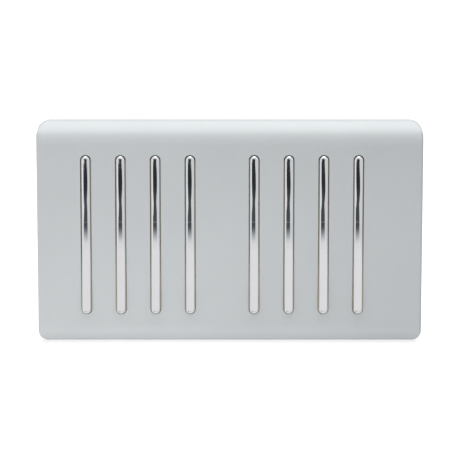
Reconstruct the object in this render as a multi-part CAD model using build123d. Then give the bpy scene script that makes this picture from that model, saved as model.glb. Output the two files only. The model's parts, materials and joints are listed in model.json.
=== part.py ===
import os
from math import radians, sin, tan

from build123d import *

# Frame: X runs along the plate, Z is up and the front faces -Y.
# The wall is the plane y = 0, and the origin is midway between the two fixing holes.

# Front plate
plate_width = 146.0
plate_height = 86.0
plate_depth = 9.0
plate_wall = 2.2
plate_rim = 0.8
plate_corner = 5.3
plate_edge = 1.0
plate_shift = 2.9
slot_length = 62.0
slot_width = 4.1

# Rockers
bank_count = 2
rockers_per_bank = 4
bank_spacing = 63.7
rocker_pitch = 13.15
rock_angle = 3.0
bar_gap = 0.45
bar_end_gap = 0.65
bar_proud = 0.5
bar_crown = 0.5
bar_bend = 120.0
bar_depth = 3.9
tenon_length = 8.0
tenon_depth = 1.4
pivot_depth = 4.4
trunnion_r = 0.95
dolly_width = 4.4
dolly_length = 24.0
barrel_length = 9.0
plunger_guide = 3.0

# Switch module
module_width = 10.8
module_height = 45.0
module_wall = 1.2
floor_depth = 10.3
floor_thick = 1.4
flange_reach = 2.0
flange_thick = 1.0
barb_reach = 0.7
ear_height = 6.4
ear_bridge = 0.9
play = 0.05

# Contacts
blade_width = 3.6
blade_length = 16.0
blade_thick = 0.7
tip_length = 1.8
tip_thick = 0.4
tip_inset = 0.3
ridge_gap = 0.03
contact_gap = 0.06
plunger_gap = 0.07
plunger_width = 2.6
spring_length = 3.4
spring_leaf = 0.25
spring_folds = 5
strip_thick = 0.8
strip_width = 2.8
clamp_pitch = 15.0
clamp_width = 4.8
clamp_height = 5.4
clamp_depth = 6.0
wire_window = 3.0
screw_room = 1.6

# Support frame
frame_thick = 2.4
frame_gap = 0.5
frame_lip = 1.2
frame_corner = 3.0
fixing_spacing = 120.6
fixing_r = 2.0
window_gap = 0.1
clip_count = 3
clip_spacing = 50.0
clip_width = 9.0
clip_thick = 1.0
clip_reach = 1.3
clip_grip = 0.7

# Places that follow from the sizes above
front_y = -plate_depth
plate_inside_y = front_y + plate_wall
pivot_y = front_y + pivot_depth
bar_width = slot_width - 2 * bar_gap
bar_length = slot_length - 2 * bar_end_gap
bar_face_y = front_y - bar_proud
bar_back_y = bar_face_y + bar_depth
dolly_back_y = 2 * pivot_y - bar_back_y + 2 * play
barrel_end_y = pivot_y + barrel_length
plunger_back_y = barrel_end_y - plunger_guide
spring_back_y = plunger_back_y - spring_length
floor_back_y = floor_depth + floor_thick
strip_y = floor_depth - strip_thick
tip_end = blade_length / 2 - tip_inset
blade_angle = 2 * rock_angle
blade_swing = tip_end * sin(radians(blade_angle))
ridge_r = strip_thick / 2
ridge_y = strip_y - contact_gap - blade_swing + ridge_r + ridge_gap - tip_thick
blade_back_y = ridge_y - ridge_r - ridge_gap
blade_front_y = blade_back_y - blade_thick
plunger_tip_y = blade_front_y - plunger_gap
clamp_back_y = floor_back_y + clamp_depth
window_y = floor_back_y + (clamp_depth - wire_window) / 3
module_half = module_height / 2
rocker_places = [
    (bank - (bank_count - 1) / 2) * bank_spacing + (place - (rockers_per_bank - 1) / 2) * rocker_pitch
    for bank in range(bank_count)
    for place in range(rockers_per_bank)
]
frame_width = plate_width - 2 * (plate_wall + frame_gap)
tab_height = plate_height - 2 * (plate_wall + frame_gap)
frame_height = tab_height - 2 * clip_reach
clip_places = [plate_shift + (n - (clip_count - 1) / 2) * clip_spacing for n in range(clip_count)]
terminal_places = {"upper": clamp_pitch, "common": 0.0, "lower": -clamp_pitch}


def across(profile, width, x=0):
    return extrude(Plane.YZ.offset(x - width / 2) * profile, width)


def through(outline, y_back, y_front):
    return extrude(Plane.XZ.offset(-y_back) * outline, y_back - y_front)


def side_shape(*points):
    return make_face(Polyline(*points, close=True))


def side_box(y_front, y_back, height, z=0):
    return Pos((y_front + y_back) / 2, z) * Rectangle(y_back - y_front, height)


def tilted(piece, angle, y):
    return Pos(0, y, 0) * Rot(angle, 0, 0) * Pos(0, -y, 0) * piece


def save(name, pieces):
    solids = pieces if isinstance(pieces, list) else [pieces]
    shape = Compound(children=solids) if len(solids) > 1 else solids[0]
    export_step(shape, os.path.join("parts", name + ".step"))


def rolled_body(width, height, depth, corner, edge):
    roll = depth - plate_rim
    top = height / 2
    profile = make_face(
        Wire(
            [
                Line((0, -top), (-plate_rim, -top)),
                RadiusArc((-plate_rim, -top), (-depth, roll - top), roll),
                Line((-depth, roll - top), (-depth, top - roll)),
                RadiusArc((-depth, top - roll), (-plate_rim, top), roll),
                Line((-plate_rim, top), (0, top)),
                Line((0, top), (0, -top)),
            ]
        )
    )
    body = across(profile, width)
    if edge:
        sides = [e for e in body.edges() if abs(e.center().X) > width / 2 - edge]
        body = fillet([e for e in sides if e.center().Y < -plate_rim / 4], edge)
    return body & through(RectangleRounded(width, height, corner), 0, -depth)


def front_plate():
    inset = 2 * plate_wall
    shell = rolled_body(plate_width, plate_height, plate_depth, plate_corner, plate_edge)
    shell -= rolled_body(
        plate_width - inset, plate_height - inset, plate_depth - plate_wall, plate_corner - plate_wall, 0
    )
    shell = Pos(plate_shift, 0, 0) * shell
    slot = through(SlotOverall(slot_length, slot_width, rotation=90), plate_inside_y + 1, front_y - 1)
    for x in rocker_places:
        shell -= Pos(x, 0, 0) * slot
    wall_z = plate_height / 2 - plate_wall
    catch_y = clip_thick - frame_thick
    catch = side_shape(
        (catch_y, wall_z + play), (catch_y, wall_z - clip_grip - frame_gap), (-plate_rim / 2, wall_z + play)
    )
    for x in clip_places:
        tooth = across(catch, clip_width, x)
        shell += [tooth, mirror(tooth, Plane.XY)]
    return shell


def support_frame():
    outline = Pos(plate_shift, 0) * RectangleRounded(frame_width, frame_height, frame_corner)
    inner = offset(outline, -frame_lip)
    window = Rectangle(module_width + 2 * window_gap, module_height + 2 * window_gap)
    openings = [Pos(x, 0) * window for x in rocker_places]
    holes = [Pos(side * fixing_spacing / 2, 0) * Circle(fixing_r) for side in (-1, 1)]
    frame = through(outline - openings - holes, 0, -frame_thick)
    frame += through(outline - inner, -frame_thick, -frame_thick - frame_lip)
    tab = Rectangle(clip_width, tab_height) - Rectangle(clip_width, frame_height)
    for x in clip_places:
        frame += through(Pos(x, 0) * tab, clip_thick - frame_thick, -frame_thick)
    return frame


def rocker_bar():
    half = bar_length / 2
    lift = half * tan(radians(rock_angle))
    side = bar_width / 2
    ridge = FilletPolyline(
        (bar_face_y - lift, -half), (bar_face_y, 0), (bar_face_y - lift, half), radius=bar_bend
    )
    ridge = Plane.YZ * ridge
    deep = bar_depth + lift
    crowned = make_face(
        Wire(
            [
                ThreePointArc((-side, bar_crown), (0, 0), (side, bar_crown)),
                Line((side, bar_crown), (side, deep)),
                Line((side, deep), (-side, deep)),
                Line((-side, deep), (-side, bar_crown)),
            ]
        )
    )
    start = Plane(origin=ridge @ 0, x_dir=(1, 0, 0), z_dir=ridge % 0)
    bar = sweep(start * crowned, path=ridge)
    bar &= through(SlotOverall(bar_length, bar_width, rotation=90), bar_back_y, bar_face_y - 2 * lift)
    tenon = side_box(bar_back_y - play, bar_back_y + tenon_depth, tenon_length)
    return bar + across(tenon, bar_width / 2)


def rocker_dolly():
    beam = side_box(bar_back_y, dolly_back_y, dolly_length)
    barrel = side_box(dolly_back_y - play, barrel_end_y, dolly_width)
    trunnion = Pos(pivot_y, 0) * Circle(trunnion_r) & side_box(pivot_y - trunnion_r, pivot_y, 2 * trunnion_r)
    dolly = across(beam + barrel, dolly_width) + across(trunnion, module_width - 2 * play)
    bore = plunger_width + 2 * play
    dolly -= across(side_box(spring_back_y, barrel_end_y, bore), bore)
    socket = side_box(bar_back_y, bar_back_y + tenon_depth + play, tenon_length + 2 * play)
    return dolly - across(socket, bar_width / 2 + 2 * play)


def plunger():
    nose_r = plunger_width / 2
    nose_y = plunger_tip_y - nose_r
    profile = side_box(plunger_back_y, nose_y, plunger_width) + Pos(nose_y, 0) * Circle(nose_r)
    return across(profile, plunger_width)


def plunger_spring():
    step = (spring_length - spring_leaf) / (spring_folds - 1)
    reach = plunger_width / 2 - play
    ends = range(spring_folds + 2)
    side = [-reach if n % 2 else reach for n in ends]
    level = [spring_back_y + step * min(max(n - 1, 0), spring_folds - 1) for n in ends]
    folds = list(zip(level, side))
    legs = [
        side_shape((y, z), (next_y, next_z), (next_y + spring_leaf, next_z), (y + spring_leaf, z))
        for (y, z), (next_y, next_z) in zip(folds, folds[1:])
    ]
    return across(legs[0] + legs[1:], plunger_width - 4 * play)


def contact_blade():
    strip = side_box(blade_front_y, blade_back_y, blade_length)
    for side in (-1, 1):
        middle = side * (tip_end - tip_length / 2)
        strip += side_box(blade_back_y, blade_back_y + tip_thick, tip_length, middle)
    return across(strip, blade_width)


def module_housing():
    end_wall = module_half - module_wall
    frame_front = -frame_thick
    lip_y = frame_front - flange_thick
    half_channel = side_shape(
        (floor_back_y, 0),
        (floor_back_y, module_half),
        (2 * barb_reach, module_half),
        (0, module_half + barb_reach),
        (0, module_half),
        (frame_front, module_half),
        (frame_front, module_half + flange_reach),
        (lip_y, module_half + flange_reach),
        (lip_y, end_wall),
        (floor_depth, end_wall),
        (floor_depth, 0),
    )
    channel = across(half_channel, module_width)
    housing = channel + mirror(channel, Plane.XY)
    ear_y = pivot_y - trunnion_r - ear_bridge
    cheek = side_box(lip_y, floor_back_y, module_height) + side_box(ear_y, lip_y, ear_height)
    cheek -= side_box(pivot_y - trunnion_r - play / 2, pivot_y + 2 * play, 2 * trunnion_r + play)
    for side in (-1, 1):
        housing += across(cheek, module_wall, side * (module_width - module_wall) / 2)
    for z in terminal_places.values():
        for side in (-1, 1):
            middle = z + side * (clamp_height + module_wall) / 2 + side * play
            wall = side_box(floor_back_y - play, clamp_back_y + screw_room, module_wall, middle)
            housing += across(wall, clamp_width + 2 * module_wall)
        leg = side_box(floor_depth, floor_back_y, strip_thick + 2 * play, z)
        housing -= across(leg, blade_width + 2 * play)
    return housing


def clamp(z):
    block = side_box(floor_back_y, clamp_back_y, clamp_height, z)
    block -= side_box(window_y, window_y + wire_window, wire_window, z)
    return across(block, clamp_width)


def common_terminal():
    stem = side_box(ridge_y, floor_back_y + play, strip_thick)
    post = stem + Pos(ridge_y, 0) * Circle(ridge_r)
    return clamp(0) + across(post, blade_width)


def line_terminal(z):
    side = 1 if z > 0 else -1
    strip_end = side * (tip_end - tip_length)
    leg_end = z + side * strip_thick / 2
    strip = side_box(strip_y, floor_depth, abs(leg_end - strip_end), (leg_end + strip_end) / 2)
    strip += side_box(strip_y, floor_back_y + play, strip_thick, z)
    return clamp(z) + across(strip, strip_width)


def placed(piece):
    return [Pos(x, 0, 0) * piece for x in rocker_places]


os.makedirs("parts", exist_ok=True)
save("front_plate", front_plate())
save("support_frame", support_frame())

rocker_pieces = {
    "rocker_bar": rocker_bar(),
    "rocker_dolly": rocker_dolly(),
    "plunger": plunger(),
    "plunger_spring": plunger_spring(),
}
for name, piece in rocker_pieces.items():
    for number, copy in enumerate(placed(tilted(piece, -rock_angle, pivot_y)), 1):
        save(f"{name}_{number}", copy)

for number, copy in enumerate(placed(tilted(contact_blade(), blade_angle, ridge_y)), 1):
    save(f"contact_blade_{number}", copy)

for number, copy in enumerate(placed(module_housing()), 1):
    save(f"module_housing_{number}", copy)

save("common_terminals", placed(common_terminal()))
save("upper_terminals", placed(line_terminal(terminal_places["upper"])))
save("lower_terminals", placed(line_terminal(terminal_places["lower"])))
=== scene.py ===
import json
import math

import bmesh
import bpy
from mathutils import Matrix, Vector


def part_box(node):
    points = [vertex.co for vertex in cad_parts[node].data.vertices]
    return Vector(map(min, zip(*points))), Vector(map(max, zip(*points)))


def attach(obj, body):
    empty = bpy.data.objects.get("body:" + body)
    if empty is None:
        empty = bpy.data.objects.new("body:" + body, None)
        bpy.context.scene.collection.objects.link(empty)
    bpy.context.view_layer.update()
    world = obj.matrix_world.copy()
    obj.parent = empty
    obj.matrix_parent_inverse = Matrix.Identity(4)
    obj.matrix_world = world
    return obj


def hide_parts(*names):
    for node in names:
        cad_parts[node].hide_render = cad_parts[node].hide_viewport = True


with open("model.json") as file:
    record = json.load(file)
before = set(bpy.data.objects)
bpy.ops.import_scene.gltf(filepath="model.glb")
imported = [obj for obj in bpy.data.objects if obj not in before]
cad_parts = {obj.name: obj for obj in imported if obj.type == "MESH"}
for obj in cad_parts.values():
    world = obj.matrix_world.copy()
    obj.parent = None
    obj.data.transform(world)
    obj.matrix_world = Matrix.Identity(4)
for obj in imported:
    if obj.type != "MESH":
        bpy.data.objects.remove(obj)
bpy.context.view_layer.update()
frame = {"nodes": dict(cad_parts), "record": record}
gangs = range(1, 9)
plateLow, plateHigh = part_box("front_plate")
plateMiddle = (plateLow + plateHigh) / 2
print("frame loaded:", len(frame["nodes"]), "nodes")


def addNode(tree, kind, at=(0, 0), **settings):
    node = tree.nodes.new(kind)
    node.location = at
    for name, value in settings.items():
        setattr(node, name, value)
    return node


def join(tree, fromNode, fromSocket, toNode, toSocket):
    tree.links.new(fromNode.outputs[fromSocket], toNode.inputs[toSocket])


def setInputs(node, **values):
    for name, value in values.items():
        node.inputs[name.replace("_", " ")].default_value = value


def newMaterial(name):
    material = bpy.data.materials.new(name)
    material.use_nodes = True
    tree = material.node_tree
    return material, tree, tree.nodes["Principled BSDF"]


def addObject(name, mesh):
    made = bpy.data.objects.new(name, mesh)
    bpy.context.scene.collection.objects.link(made)
    return made


# Camera at the photograph's angle
photoView = {
    "elevation": 13.44,  # degrees above the plate's own normal
    "distance": 1.279,
    "lens": 264.1,
    "sensor": 36.0,
    "aimRight": 0.00007,
    "aimUp": 0.00198,
    "clipStart": 0.01,
}


def placeCamera():
    tilt = math.radians(photoView["elevation"])
    aim = Vector((plateMiddle.x + photoView["aimRight"], plateLow.y, photoView["aimUp"]))
    camera = bpy.data.cameras.new("photoCamera")
    camera.lens = photoView["lens"]
    camera.sensor_width = photoView["sensor"]
    camera.clip_start = photoView["clipStart"]
    holder = addObject("photoCamera", camera)
    holder.location = aim + photoView["distance"] * Vector((0, -math.cos(tilt), math.sin(tilt)))
    holder.rotation_euler = (math.pi / 2 - tilt, 0, 0)
    bpy.context.scene.camera = holder


placeCamera()
print("camera placed")


# White surround, pale floor, a wide soft lamp overhead and a plain fill low in front
room = {
    "white": (1, 1, 1, 1),
    "fill": 0.35,  # the surround as the object's own light
    "floorHalf": 1.6,
    "floorColour": (0.45, 0.45, 0.45, 1),
    "floorRoughness": 0.9,
    "floorGlow": 0.72,  # only as seen or mirrored, so the shadow stays
}
lamps = {
    "top": {
        "at": (0.0, 0.06, 1.15),
        "size": 1.9,
        "power": 18.3,
        "colour": (1, 0.985, 0.955),
        "shade": True,
    },
    "left": {
        "at": (-0.08, -0.27, -0.13),
        "size": 0.06,
        "power": 0.565,
        "colour": (1, 0.975, 0.94),
        "shade": False,
    },
}
fillLit = bpy.data.collections.new("fillLit")  # what the left lamp shines on
fillLit.objects.link(frame["nodes"]["front_plate"])


def seenOrMirrored(tree):
    path = addNode(tree, "ShaderNodeLightPath", (-900, 300))
    seen = addNode(tree, "ShaderNodeMath", (-700, 300), operation="MAXIMUM")
    either = addNode(tree, "ShaderNodeMath", (-500, 300), operation="MAXIMUM")
    join(tree, path, "Is Camera Ray", seen, 0)
    join(tree, path, "Is Glossy Ray", seen, 1)
    join(tree, seen, 0, either, 0)
    join(tree, path, "Is Transmission Ray", either, 1)
    return either


def makeSurround():
    world = bpy.data.worlds.new("whiteSurround")
    world.use_nodes = True
    tree = world.node_tree
    fill = tree.nodes["Background"]
    setInputs(fill, Color=room["white"], Strength=room["fill"])
    white = addNode(tree, "ShaderNodeBackground", (0, -150))
    setInputs(white, Color=room["white"], Strength=1)
    mix = addNode(tree, "ShaderNodeMixShader", (200, 0))
    tree.links.new(seenOrMirrored(tree).outputs[0], mix.inputs[0])
    tree.links.new(fill.outputs[0], mix.inputs[1])
    tree.links.new(white.outputs[0], mix.inputs[2])
    tree.links.new(mix.outputs[0], tree.nodes["World Output"].inputs[0])
    bpy.context.scene.world = world


def makeFloor():
    half = room["floorHalf"]
    mesh = bpy.data.meshes.new("floor")
    corners = [(-half, -half), (half, -half), (half, half), (-half, half)]
    mesh.from_pydata([(x, y, plateLow.z) for x, y in corners], [], [(0, 1, 2, 3)])
    material, tree, skin = newMaterial("paleFloor")
    setInputs(skin, Base_Color=room["floorColour"], Roughness=room["floorRoughness"])
    glow = addNode(tree, "ShaderNodeEmission", (0, -300))
    amount = addNode(tree, "ShaderNodeMath", (-250, -300), operation="MULTIPLY")
    amount.inputs[1].default_value = room["floorGlow"]
    tree.links.new(seenOrMirrored(tree).outputs[0], amount.inputs[0])
    tree.links.new(amount.outputs[0], glow.inputs["Strength"])
    both = addNode(tree, "ShaderNodeAddShader", (300, 0))
    tree.links.new(skin.outputs[0], both.inputs[0])
    tree.links.new(glow.outputs[0], both.inputs[1])
    tree.links.new(both.outputs[0], tree.nodes["Material Output"].inputs[0])
    mesh.materials.append(material)
    floor = addObject("floor", mesh)
    floor.visible_glossy = False  # the bars mirror the surround below it
    fillLit.objects.link(floor)


def softLamp(name, values):
    light = bpy.data.lights.new(name + "Lamp", "AREA")
    light.shape = "DISK"
    light.size = values["size"]
    light.energy = values["power"]
    light.color = values["colour"]
    lamp = addObject(name + "Lamp", light)
    lamp.location = values["at"]
    lamp.rotation_euler = (plateMiddle - lamp.location).to_track_quat("-Z", "Y").to_euler()
    if not values["shade"]:  # a plain fill, which the bars don't mirror
        light.use_shadow = False
        lamp.visible_glossy = False
        lamp.light_linking.receiver_collection = fillLit


# Curved glowing cards low in front, which only the mirror finish sees: a painted reflection, their painted
# grey levels give the dark stripe down each bar
mirrorCards = {
    "steps": 24,
    "tint": (0.86, 1.0, 1.08),
    "reach": {"dark": 3.0, "grey": 3.1},
}
# glow levels of the dark card, painted to shade the reflected stripe on the bars
darkCard = {
    "white": 0.96,
    "dark": 0.09,
    "darkest": 0.035,
    "head": (-0.21, -0.525),  # heights of the wide head, whose edges sag
    "headSag": (0.26, 0.10),
    "headRows": 12,
    "fade": (-0.24, -0.48),  # from white to dark
    "band": (-0.61, -0.66),  # the darkest part
    "edges": (-40, 20),  # left and right, in degrees round the plate
    "neck": [(-0.545, -9, -5), (-0.604, -11, -4)],
    "waist": [(-0.619, -36, 13), (-0.636, -38, 23), (-0.654, -37, 26), (-0.674, -26, 13)],
    "foot": (-0.69, -0.95, -1.35),  # dark down to the second height, and white again at the last
}
greyCard = [  # height, left edge, right edge, grey level, sag of the edges
    (-0.30, 0, 75, 0.97, 0),
    (-0.45, 0, 75, 0.82, 0),
    (-1.35, 0, 75, 0.95, 0),
]


def darkCardRows():
    values = darkCard
    top, under = values["head"]
    start, end = values["fade"]
    edges = values["edges"]
    rows = []  # in the order of the grey card's
    for n in range(values["headRows"] + 1):
        share = n / values["headRows"]
        height = top + (under - top) * share
        dark = min(1, max(0, (height - start) / (end - start)))
        grey = values["white"] + (values["dark"] - values["white"]) * dark ** 2 * (3 - 2 * dark)
        sag = values["headSag"][0] + (values["headSag"][1] - values["headSag"][0]) * share
        rows.append((height, *edges, grey, sag))
    for height, left, right in values["neck"] + values["waist"]:
        inBand = values["band"][1] < height < values["band"][0]
        rows.append((height, left, right, values["darkest"] if inBand else values["dark"], 0))
    for height, grey in zip(values["foot"], (values["dark"], values["dark"], values["white"])):
        rows.append((height, *edges, grey, 0))
    return rows


def makeMirrorCard(name, rows):
    steps = mirrorCards["steps"]
    reach = mirrorCards["reach"][name]
    points, shades, faces = [], [], []
    for height, left, right, grey, sag in rows:
        for n in range(steps + 1):
            turn = math.radians(left + (right - left) * n / steps)
            low = height - sag * (1 - math.cos(turn))
            points.append((reach * math.sin(turn), -reach * math.cos(turn), low))
            shades += [grey * (1 + (part - 1) * (1 - grey)) for part in mirrorCards["tint"]] + [1]
    width = steps + 1
    for row in range(len(rows) - 1):
        for n in range(steps):
            first = row * width + n
            faces.append((first, first + 1, first + width + 1, first + width))
    mesh = bpy.data.meshes.new(name + "Card")
    mesh.from_pydata(points, [], faces)
    layer = mesh.attributes.new("shade", "FLOAT_COLOR", "POINT")
    layer.data.foreach_set("color", shades)
    material, tree = newMaterial(name + "Card")[:2]
    level = addNode(tree, "ShaderNodeAttribute", (-400, 0), attribute_name="shade")
    # the card glows at its painted grey level, seen only as a painted reflection in the bars
    glow = addNode(tree, "ShaderNodeEmission", (0, -300))
    tree.links.new(level.outputs["Color"], glow.inputs["Color"])
    tree.links.new(glow.outputs[0], tree.nodes["Material Output"].inputs[0])
    mesh.materials.append(material)
    card = addObject(name + "Card", mesh)
    card.visible_camera = False
    card.visible_diffuse = False
    card.visible_shadow = False
    card.visible_transmission = False


makeSurround()
makeFloor()
makeMirrorCard("dark", darkCardRows())
makeMirrorCard("grey", greyCard)
for lampName, lampValues in lamps.items():
    softLamp(lampName, lampValues)
bpy.context.scene.view_settings.view_transform = "Standard"
print("room lit")


# Shared surface effects, each a node group
effects = {
    "noiseRoughness": 0.6,
    "fineDetail": 3,
    "cloudDetail": 4,
    "speckShare": 0.5,
    "drawnOut": (1, 1, 0.06),  # lines run up the piece
    "span": (0.3, 0.7),  # the part of the noise that shows
    "bumpDistance": 0.0001,
}


def newGroup(name, inputs, outputs):
    tree = bpy.data.node_groups.new(name, "ShaderNodeTree")
    for socketName, value in inputs.items():
        socket = tree.interface.new_socket(socketName, in_out="INPUT", socket_type="NodeSocketFloat")
        socket.default_value = value
    for socketName in outputs:
        tree.interface.new_socket(socketName, in_out="OUTPUT", socket_type="NodeSocketFloat")
    inNode = addNode(tree, "NodeGroupInput", (-900, 0))
    outNode = addNode(tree, "NodeGroupOutput", (700, 0))
    return tree, inNode, outNode


def noiseOn(tree, coordinates, scaleFrom, detail, at):
    noise = addNode(tree, "ShaderNodeTexNoise", at)
    setInputs(noise, Detail=detail, Roughness=effects["noiseRoughness"])
    tree.links.new(coordinates, noise.inputs["Vector"])
    tree.links.new(scaleFrom, noise.inputs["Scale"])
    return noise


def mouldedGrainGroup():
    inputs = {"Grain Scale": 3500, "Cloud Scale": 60}
    tree, inNode, outNode = newGroup("mouldedGrain", inputs, ["Tone", "Cloud", "Height"])
    place = addNode(tree, "ShaderNodeTexCoord", (-900, -250)).outputs["Object"]
    grain = noiseOn(tree, place, inNode.outputs["Grain Scale"], effects["fineDetail"], (-600, 150))
    cloud = noiseOn(tree, place, inNode.outputs["Cloud Scale"], effects["cloudDetail"], (-600, -150))
    speck = addNode(tree, "ShaderNodeTexVoronoi", (-600, -420))
    tree.links.new(place, speck.inputs["Vector"])
    tree.links.new(inNode.outputs["Grain Scale"], speck.inputs["Scale"])
    height = addNode(tree, "ShaderNodeMath", (-200, 0), operation="MULTIPLY_ADD")
    height.inputs[1].default_value = effects["speckShare"]
    tree.links.new(speck.outputs["Distance"], height.inputs[0])
    tree.links.new(grain.outputs[0], height.inputs[2])
    tree.links.new(grain.outputs[0], outNode.inputs["Tone"])
    tree.links.new(cloud.outputs[0], outNode.inputs["Cloud"])
    tree.links.new(height.outputs[0], outNode.inputs["Height"])
    return tree


def drawnLinesGroup():
    inputs = {"Line Scale": 900, "Cloud Scale": 90}
    tree, inNode, outNode = newGroup("drawnLines", inputs, ["Lines", "Cloud"])
    place = addNode(tree, "ShaderNodeTexCoord", (-900, -250)).outputs["Object"]
    drawn = addNode(tree, "ShaderNodeMapping", (-750, -250))
    setInputs(drawn, Scale=effects["drawnOut"])
    tree.links.new(place, drawn.inputs["Vector"])
    drawn = drawn.outputs[0]
    lines = noiseOn(tree, drawn, inNode.outputs["Line Scale"], effects["fineDetail"], (-500, 150))
    cloud = noiseOn(tree, place, inNode.outputs["Cloud Scale"], effects["cloudDetail"], (-500, -150))
    tree.links.new(lines.outputs[0], outNode.inputs["Lines"])
    tree.links.new(cloud.outputs[0], outNode.inputs["Cloud"])
    return tree


mouldedGrain = mouldedGrainGroup()
drawnLines = drawnLinesGroup()


def useGroup(tree, group, at, **values):
    node = addNode(tree, "ShaderNodeGroup", at)
    node.node_tree = group
    setInputs(node, **values)
    return node


def blendColours(tree, mask, low, high, at):
    ramp = addNode(tree, "ShaderNodeValToRGB", at)
    for stop, place, colour in zip(ramp.color_ramp.elements, effects["span"], (low, high)):
        stop.position = place
        stop.color = (*colour, 1)
    tree.links.new(mask, ramp.inputs[0])
    return ramp.outputs[0]


def spread(tree, mask, low, high, at):
    levels = addNode(tree, "ShaderNodeMapRange", at)
    setInputs(levels, From_Min=effects["span"][0], From_Max=effects["span"][1], To_Min=low, To_Max=high)
    tree.links.new(mask, levels.inputs["Value"])
    return levels.outputs[0]


def addBump(tree, skin, height, strength):
    bump = addNode(tree, "ShaderNodeBump", (-200, -400))
    setInputs(bump, Strength=strength, Distance=effects["bumpDistance"])
    tree.links.new(height, bump.inputs["Height"])
    tree.links.new(bump.outputs[0], skin.inputs["Normal"])


def addTone(tree, skin, mask, low, high):
    tone = blendColours(tree, mask, low, high, (-550, 200))
    tree.links.new(tone, skin.inputs["Base Color"])


def addGloss(tree, skin, mask, limits):
    roughness = spread(tree, mask, *limits, (-550, -250))
    tree.links.new(roughness, skin.inputs["Roughness"])


def multiply(tree, first, second, at):
    mix = addNode(tree, "ShaderNodeMix", at, data_type="RGBA", blend_type="MULTIPLY")
    mix.inputs[0].default_value = 1
    tree.links.new(first, mix.inputs[6])
    tree.links.new(second, mix.inputs[7])
    return mix.outputs[2]


# Finishes
silverPaint = {
    "dark": (0.528, 0.561, 0.585),
    "light": (0.556, 0.590, 0.614),
    "flakeDark": (0.955, 0.955, 0.955),
    "metal": 0.2,
    "roughness": (0.44, 0.52),
    "grain": 2600,
    "cloud": 22,
    "depth": 0.06,
}
barChrome = {
    "colour": (0.715, 0.71, 0.735),
    "smudge": (0.69, 0.69, 0.70),
    "roughness": (0.012, 0.03),
    "lines": 1500,
    "cloud": 140,
}
plasticGrain = {"grain": 3200, "cloud": 80}
plastics = {
    "frame_plastic": {
        "dark": (0.55, 0.55, 0.53), "light": (0.61, 0.61, 0.59),
        "roughness": (0.45, 0.58), "depth": 0.25,
    },
    "module_plastic": {
        "dark": (0.68, 0.68, 0.645), "light": (0.74, 0.74, 0.71),
        "roughness": (0.36, 0.5), "depth": 0.16,
    },
    "dolly_plastic": {
        "dark": (0.30, 0.275, 0.215), "light": (0.355, 0.33, 0.265),
        "roughness": (0.38, 0.5), "depth": 0.2,
    },
    "plunger_nylon": {
        "dark": (0.68, 0.66, 0.58), "light": (0.76, 0.745, 0.68),
        "roughness": (0.3, 0.42), "depth": 0.1,
    },
}
metalLines = {"lines": 1800, "cloud": 260, "depth": 0.12}
metals = {
    "spring_steel": {"dark": (0.42, 0.42, 0.44), "light": (0.58, 0.58, 0.6), "roughness": (0.2, 0.36)},
    "blade_copper": {"dark": (0.58, 0.30, 0.17), "light": (0.76, 0.46, 0.29), "roughness": (0.22, 0.4)},
    "screw_steel": {"dark": (0.48, 0.48, 0.49), "light": (0.63, 0.63, 0.63), "roughness": (0.24, 0.42)},
    "terminal_brass": {"dark": (0.62, 0.43, 0.17), "light": (0.80, 0.61, 0.30), "roughness": (0.2, 0.38)},
}


def silverFinish():
    material, tree, skin = newMaterial("silverPaint")
    values = silverPaint
    scales = {"Grain_Scale": values["grain"], "Cloud_Scale": values["cloud"]}
    grain = useGroup(tree, mouldedGrain, (-800, 0), **scales)
    tone = blendColours(tree, grain.outputs["Cloud"], values["dark"], values["light"], (-550, 200))
    flake = blendColours(tree, grain.outputs["Tone"], values["flakeDark"], (1, 1, 1), (-550, -50))
    tree.links.new(multiply(tree, tone, flake, (-250, 150)), skin.inputs["Base Color"])
    addGloss(tree, skin, grain.outputs["Tone"], values["roughness"])
    setInputs(skin, Metallic=values["metal"])
    addBump(tree, skin, grain.outputs["Height"], values["depth"])
    return material


def chromeFinish():
    material, tree, skin = newMaterial("barChrome")
    values = barChrome
    scales = {"Line_Scale": values["lines"], "Cloud_Scale": values["cloud"]}
    lines = useGroup(tree, drawnLines, (-800, 0), **scales)
    addTone(tree, skin, lines.outputs["Cloud"], values["smudge"], values["colour"])
    addGloss(tree, skin, lines.outputs["Cloud"], values["roughness"])
    setInputs(skin, Metallic=1)
    return material


def plasticFinish(slot):
    values = plastics[slot]
    material, tree, skin = newMaterial(slot)
    scales = {"Grain_Scale": plasticGrain["grain"], "Cloud_Scale": plasticGrain["cloud"]}
    grain = useGroup(tree, mouldedGrain, (-800, 0), **scales)
    addTone(tree, skin, grain.outputs["Cloud"], values["dark"], values["light"])
    addGloss(tree, skin, grain.outputs["Tone"], values["roughness"])
    addBump(tree, skin, grain.outputs["Height"], values["depth"])
    return material


def metalFinish(slot):
    values = metals[slot]
    material, tree, skin = newMaterial(slot)
    scales = {"Line_Scale": metalLines["lines"], "Cloud_Scale": metalLines["cloud"]}
    lines = useGroup(tree, drawnLines, (-800, 0), **scales)
    addTone(tree, skin, lines.outputs["Cloud"], values["dark"], values["light"])
    addGloss(tree, skin, lines.outputs["Lines"], values["roughness"])
    setInputs(skin, Metallic=1)
    addBump(tree, skin, lines.outputs["Lines"], metalLines["depth"])
    return material


finishes = {"satin_silver": silverFinish(), "bar_chrome": chromeFinish()}
for slotName in plastics:
    finishes[slotName] = plasticFinish(slotName)
for slotName in metals:
    finishes[slotName] = metalFinish(slotName)
slotOfNode = {part["node"]: part["material_slot"] for part in frame["record"]["subparts"]}
for name, node in frame["nodes"].items():
    node.data.materials.clear()
    node.data.materials.append(finishes[slotOfNode[name]])
print("finishes set")


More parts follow.
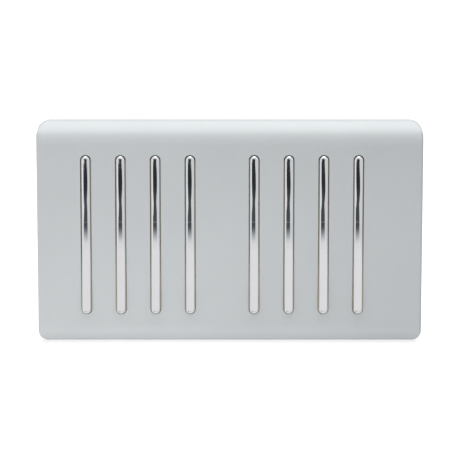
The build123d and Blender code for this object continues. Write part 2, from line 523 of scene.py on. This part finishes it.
# Rocker bars: the same pill as the frame's, with rolled ends and a rounded edge
barShape = {
    "length": 0.0607,
    "width": 0.0032,
    "face": -0.0095,  # ridge of the bend, before the bar is tilted
    "back": -0.0056,
    "pivot": -0.0046,
    "slope": 3.0,  # degrees, of each half
    "bendTop": 0.005,  # the bend starts with a quick turn, then opens out
    "quickTurn": 1.75,
    "quickLength": 0.00015,
    "crown": 0.0005,
    "edge": 0.00018,  # radius round the outline
    "endRoll": 0.00085,  # how far in from each end the face starts to fall away
    "endRadius": 0.0008,
    "sideSteps": 64,
    "endSteps": 20,
    "edgeSteps": (0, 0.03, 0.1, 0.25, 0.5, 0.75, 1.0),  # across the rounded edge
    "spineSteps": (0.15, 0.3, 0.42, 0.46, 0.472, 0.49, 0.56, 0.7, 0.85, 1.0),  # then on to the middle
    "tenon": (0.0016, 0.00145, 0.008),
    "tenonSunk": 0.00005,  # how far the tenon starts inside the bar
    "merge": 1e-7,
    "thinnest": 1e-8,
    "sharp": 40,  # degrees between faces, past which an edge shows
}


def ridgeAt(z):
    slope = math.tan(math.radians(barShape["slope"]))
    quick = math.tan(math.radians(barShape["quickTurn"]))
    short = barShape["quickLength"]
    top = barShape["bendTop"]
    length = (2 * slope * (top - short) + short * quick / 2) / (slope - quick / 2)
    if z >= top or z <= top - short - length:
        return barShape["face"] - abs(z) * slope
    first = min(top - z, short)
    rest = top - z - first
    start = barShape["face"] - top * slope + slope * first - quick * first ** 2 / (2 * short)
    return start + (slope - quick) * rest - (2 * slope - quick) * rest ** 2 / (2 * length)


def barOutline():
    spine = barShape["length"] / 2 - barShape["width"] / 2
    count = barShape["sideSteps"]
    top = barShape["bendTop"]
    short = barShape["quickLength"]
    up = [top + short / 6, top, top - short / 2, top - short, top - short * 7 / 6]  # round the quick turn
    up += [spine * (2 * n / count - 1) for n in range(count + 1)]
    up.sort()
    places = [(1.0, 0.0, z) for z in up]
    for n in range(1, barShape["endSteps"]):
        turn = math.pi * n / barShape["endSteps"]
        places.append((math.cos(turn), math.sin(turn), spine))
    places += [(-1.0, 0.0, z) for z in reversed(up)]
    for n in range(1, barShape["endSteps"]):
        turn = math.pi * n / barShape["endSteps"]
        places.append((-math.cos(turn), -math.sin(turn), -spine))
    return places


def faceAt(x, z):
    half = barShape["width"] / 2
    crownRadius = (half ** 2 + barShape["crown"] ** 2) / (2 * barShape["crown"])
    beyond = max(0, abs(z) - barShape["length"] / 2 + half)
    out = math.hypot(x, beyond)
    past = max(0, out - half + barShape["endRoll"])
    fall = past ** 2 / (2 * barShape["endRadius"]) * (beyond / out) ** 2 if past else 0
    return ridgeAt(z) + crownRadius - math.sqrt(crownRadius ** 2 - x ** 2) + fall


def bridge(shape, outer, inner, closed=True):
    for n in range(len(outer) if closed else len(outer) - 1):
        after = (n + 1) % len(outer)
        shape.faces.new((outer[n], outer[after], inner[after], inner[n]))


def seatShape(shape, x):
    bmesh.ops.remove_doubles(shape, verts=shape.verts, dist=barShape["merge"])
    bmesh.ops.dissolve_degenerate(shape, dist=barShape["thinnest"], edges=shape.edges)
    bmesh.ops.recalc_face_normals(shape, faces=shape.faces)
    pivot = Matrix.Translation((0, barShape["pivot"], 0))
    tilt = pivot @ Matrix.Rotation(-math.radians(barShape["slope"]), 4, "X") @ pivot.inverted()
    bmesh.ops.transform(shape, matrix=Matrix.Translation((x, 0, 0)) @ tilt, verts=shape.verts)


def asMesh(shape, name, material):
    mesh = bpy.data.meshes.new(name)
    shape.to_mesh(mesh)
    shape.free()
    mesh.shade_smooth()
    mesh.set_sharp_from_angle(angle=math.radians(barShape["sharp"]))
    mesh.materials.append(material)
    return mesh


def barMesh(name, x):
    half = barShape["width"] / 2
    edge = barShape["edge"]
    insets = [edge * step for step in barShape["edgeSteps"]]
    insets += [edge + (half - edge) * step for step in barShape["spineSteps"]]
    outline = barOutline()
    shape = bmesh.new()
    last = [shape.verts.new((half * a, barShape["back"], half * b + z)) for a, b, z in outline]
    shape.faces.new(last)
    for inset in insets:
        out = half - inset
        turned = max(0, edge - inset)
        drop = edge - math.sqrt(edge ** 2 - turned ** 2)
        ring = []
        for a, b, z in outline:
            up = out * b + z
            ring.append(shape.verts.new((out * a, faceAt(out * a, up) + drop, up)))
        bridge(shape, last, ring)
        last = ring
    width, depth, height = barShape["tenon"]
    middle = Matrix.Translation((0, barShape["back"] + depth / 2 - barShape["tenonSunk"], 0))
    bmesh.ops.create_cube(shape, size=1, matrix=middle @ Matrix.Diagonal((width, depth, height, 1)))
    seatShape(shape, x)
    return asMesh(shape, name, finishes["bar_chrome"])


# The thin moulded rim of the dolly that shows beside each bar and below it, open at the top
barRim = {"reach": 0.0003, "below": 0.0021, "edge": 0.00008}


def rimMesh(name, x):
    half = barShape["width"] / 2
    outer = half + barRim["reach"]
    edge = barRim["edge"]
    whole = barOutline()
    topArc = barShape["endSteps"] - 1
    side = len(whole) // 2 - topArc
    outline = whole[side + topArc:] + whole[:side]  # down the left, round the bottom and up the right
    shape = bmesh.new()

    def ring(out, lower):
        made = []
        for a, b, z in outline:
            up = out * b + z
            made.append(shape.verts.new((out * a, ridgeAt(up) + barRim["below"] + lower, up)))
        return made

    def flatRing(out):
        return [shape.verts.new((out * a, barShape["back"], out * b + z)) for a, b, z in outline]

    rings = [flatRing(outer), ring(outer, edge), ring(outer - edge, 0), ring(half, 0), flatRing(half)]
    for first, second in zip(rings, rings[1:] + rings[:1]):
        bridge(shape, first, second, False)
    shape.faces.new([row[0] for row in rings])
    shape.faces.new([row[-1] for row in rings])
    seatShape(shape, x)
    return asMesh(shape, name, finishes["dolly_plastic"])


for gang in gangs:
    low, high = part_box(f"rocker_bar_{gang}")
    bar = addObject(f"rockerBar{gang}", barMesh(f"rockerBar{gang}", (low.x + high.x) / 2))
    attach(bar, f"rocker_{gang}")
    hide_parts(f"rocker_bar_{gang}")
    rim = addObject(f"barRim{gang}", rimMesh(f"barRim{gang}", (low.x + high.x) / 2))
    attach(rim, f"rocker_{gang}")
    fillLit.objects.link(rim)
print("rocker bars made")


# Clamp screws, one on each terminal
clampScrew = {
    "Head Radius": 0.0019,
    "Head Height": 0.0013,
    "Slot Width": 0.0006,
    "Slot Depth": 0.0007,
    "Shank Radius": 0.00125,
    "Shank Length": 0.0036,
    "Thread Pitch": 0.0005,
    "Turn": 0.7,  # how far the slots differ, in radians
}
screwMake = {
    "headSides": 32,
    "headSteps": 5,
    "domePower": 4,
    "domeInward": -0.16,  # shares of the radius, here and for the thread
    "shankSides": 16,
    "shankSteps": 29,
    "shankSunk": -0.49,  # share of its length
    "threadDepth": 0.09,
    "seed": 4,
    "sharp": 35,
    "fromEnd": 0.0027,  # from the outer end of a terminal to its screw
}


def mathNode(tree, operation, first, second, at):
    node = addNode(tree, "ShaderNodeMath", at, operation=operation)
    for place, value in ((0, first), (1, second)):
        if isinstance(value, (int, float)):
            node.inputs[place].default_value = value
        else:
            tree.links.new(value, node.inputs[place])
    return node.outputs[0]


def screwTree(material):
    tree = bpy.data.node_groups.new("clampScrews", "GeometryNodeTree")
    tree.interface.new_socket("Geometry", in_out="INPUT", socket_type="NodeSocketGeometry")
    for name, value in clampScrew.items():
        socket = tree.interface.new_socket(name, in_out="INPUT", socket_type="NodeSocketFloat")
        socket.default_value = value
    tree.interface.new_socket("Geometry", in_out="OUTPUT", socket_type="NodeSocketGeometry")
    given = addNode(tree, "NodeGroupInput", (-1400, 0)).outputs
    result = addNode(tree, "NodeGroupOutput", (1200, 0))

    def moved(geometry, vector, at):
        move = addNode(tree, "GeometryNodeSetPosition", at)
        tree.links.new(geometry, move.inputs["Geometry"])
        tree.links.new(vector, move.inputs["Offset"])
        return move.outputs[0]

    def along(value, at):
        node = addNode(tree, "ShaderNodeCombineXYZ", at)
        tree.links.new(value, node.inputs["Z"])
        return node.outputs[0]

    def roundRod(radius, height, sides, steps, at):
        rod = addNode(tree, "GeometryNodeMeshCylinder", at)
        rod.inputs["Vertices"].default_value = sides
        rod.inputs["Side Segments"].default_value = steps
        tree.links.new(radius, rod.inputs["Radius"])
        tree.links.new(height, rod.inputs["Depth"])
        return rod.outputs["Mesh"]

    def swelled(geometry, share, at):
        place = addNode(tree, "GeometryNodeInputPosition", (at[0] - 400, at[1] - 200))
        scaled = addNode(tree, "ShaderNodeVectorMath", (at[0] - 200, at[1] - 200), operation="SCALE")
        flat = addNode(tree, "ShaderNodeVectorMath", (at[0] - 300, at[1] - 300), operation="MULTIPLY")
        flat.inputs[1].default_value = (1, 1, 0)
        tree.links.new(place.outputs[0], flat.inputs[0])
        tree.links.new(flat.outputs[0], scaled.inputs[0])
        tree.links.new(share, scaled.inputs["Scale"])
        return moved(geometry, scaled.outputs[0], at)

    def heightField(at):
        place = addNode(tree, "GeometryNodeInputPosition", at)
        split = addNode(tree, "ShaderNodeSeparateXYZ", (at[0] + 150, at[1]))
        tree.links.new(place.outputs[0], split.inputs[0])
        return split.outputs["Z"]

    # Head: a low domed cheese head with a slot
    sides, steps = screwMake["headSides"], screwMake["headSteps"]
    head = roundRod(given["Head Radius"], given["Head Height"], sides, steps, (-1000, 400))
    raised = mathNode(tree, "MULTIPLY", given["Head Height"], 0.5, (-1000, 250))
    head = moved(head, along(raised, (-850, 250)), (-700, 400))
    level = mathNode(tree, "DIVIDE", heightField((-1000, 650)), given["Head Height"], (-650, 650))
    dome = mathNode(tree, "POWER", level, screwMake["domePower"], (-500, 650))
    inward = mathNode(tree, "MULTIPLY", dome, screwMake["domeInward"], (-350, 650))
    head = swelled(head, inward, (-200, 450))
    cutter = addNode(tree, "GeometryNodeMeshCube", (-400, 100))
    size = addNode(tree, "ShaderNodeCombineXYZ", (-600, 100))
    tree.links.new(mathNode(tree, "MULTIPLY", given["Head Radius"], 3, (-800, 100)), size.inputs["X"])
    tree.links.new(given["Slot Width"], size.inputs["Y"])
    tree.links.new(mathNode(tree, "MULTIPLY", given["Slot Depth"], 2, (-800, 0)), size.inputs["Z"])
    tree.links.new(size.outputs[0], cutter.inputs["Size"])
    slot = moved(cutter.outputs["Mesh"], along(given["Head Height"], (-400, -50)), (-200, 100))
    cut = addNode(tree, "GeometryNodeMeshBoolean", (0, 300), operation="DIFFERENCE")
    tree.links.new(head, cut.inputs["Mesh 1"])
    tree.links.new(slot, cut.inputs["Mesh 2"])

    # Shank: fine ridges stand for the thread
    sides, steps = screwMake["shankSides"], screwMake["shankSteps"]
    shank = roundRod(given["Shank Radius"], given["Shank Length"], sides, steps, (-1000, -300))
    sunk = mathNode(tree, "MULTIPLY", given["Shank Length"], screwMake["shankSunk"], (-1000, -450))
    shank = moved(shank, along(sunk, (-850, -450)), (-700, -300))
    turns = mathNode(tree, "DIVIDE", heightField((-1000, -650)), given["Thread Pitch"], (-650, -650))
    angle = mathNode(tree, "MULTIPLY", turns, 2 * math.pi, (-500, -650))
    wave = mathNode(tree, "SINE", angle, 0, (-350, -650))
    swell = mathNode(tree, "MULTIPLY", wave, screwMake["threadDepth"], (-200, -650))
    shank = swelled(shank, swell, (-100, -300))

    both = addNode(tree, "GeometryNodeJoinGeometry", (200, 100))
    tree.links.new(cut.outputs["Mesh"], both.inputs[0])
    tree.links.new(shank, both.inputs[0])
    dots = addNode(tree, "GeometryNodeMeshToPoints", (200, -150))
    tree.links.new(given["Geometry"], dots.inputs["Mesh"])
    spin = addNode(tree, "FunctionNodeRandomValue", (200, -350), data_type="FLOAT")
    spin.inputs["Seed"].default_value = screwMake["seed"]
    tree.links.new(mathNode(tree, "MULTIPLY", given["Turn"], -1, (0, -350)), spin.inputs[2])
    tree.links.new(given["Turn"], spin.inputs[3])
    turned = addNode(tree, "ShaderNodeCombineXYZ", (400, -350))
    turned.inputs["X"].default_value = -math.pi / 2  # heads face the wall box
    tree.links.new(spin.outputs[1], turned.inputs["Y"])
    rotation = addNode(tree, "FunctionNodeEulerToRotation", (550, -350))
    tree.links.new(turned.outputs[0], rotation.inputs[0])
    copies = addNode(tree, "GeometryNodeInstanceOnPoints", (600, 0))
    tree.links.new(dots.outputs[0], copies.inputs["Points"])
    tree.links.new(both.outputs[0], copies.inputs["Instance"])
    tree.links.new(rotation.outputs[0], copies.inputs["Rotation"])
    real = addNode(tree, "GeometryNodeRealizeInstances", (800, 0))
    tree.links.new(copies.outputs[0], real.inputs[0])
    finish = addNode(tree, "GeometryNodeSetMaterial", (1000, 0))
    finish.inputs["Material"].default_value = material
    tree.links.new(real.outputs[0], finish.inputs[0])
    tree.links.new(finish.outputs[0], result.inputs[0])
    return tree


def makeScrews():
    places = []
    fromEnd = screwMake["fromEnd"]
    for gang in gangs:
        low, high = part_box(f"rocker_bar_{gang}")
        x = (low.x + high.x) / 2
        for row in ("upper", "common", "lower"):
            low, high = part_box(row + "_terminals")
            heights = {"upper": high.z - fromEnd, "common": (low.z + high.z) / 2, "lower": low.z + fromEnd}
            places.append((x, high.y, heights[row]))
    mesh = bpy.data.meshes.new("clampScrewPlaces")
    mesh.from_pydata(places, [], [])
    screws = addObject("clampScrews", mesh)
    tree = screwTree(finishes["screw_steel"])
    modifier = screws.modifiers.new("clampScrews", "NODES")
    modifier.node_group = tree
    for item in tree.interface.items_tree:
        if item.in_out == "INPUT" and item.name in clampScrew:
            modifier[item.identifier] = clampScrew[item.name]
    evaluated = screws.evaluated_get(bpy.context.evaluated_depsgraph_get())
    made = bpy.data.meshes.new_from_object(evaluated)
    screws.modifiers.clear()
    screws.data = made
    made.shade_smooth()
    made.set_sharp_from_angle(angle=math.radians(screwMake["sharp"]))
    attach(screws, "switch_base")
    return len(places), len(made.polygons)


print("clamp screws:", *makeScrews())
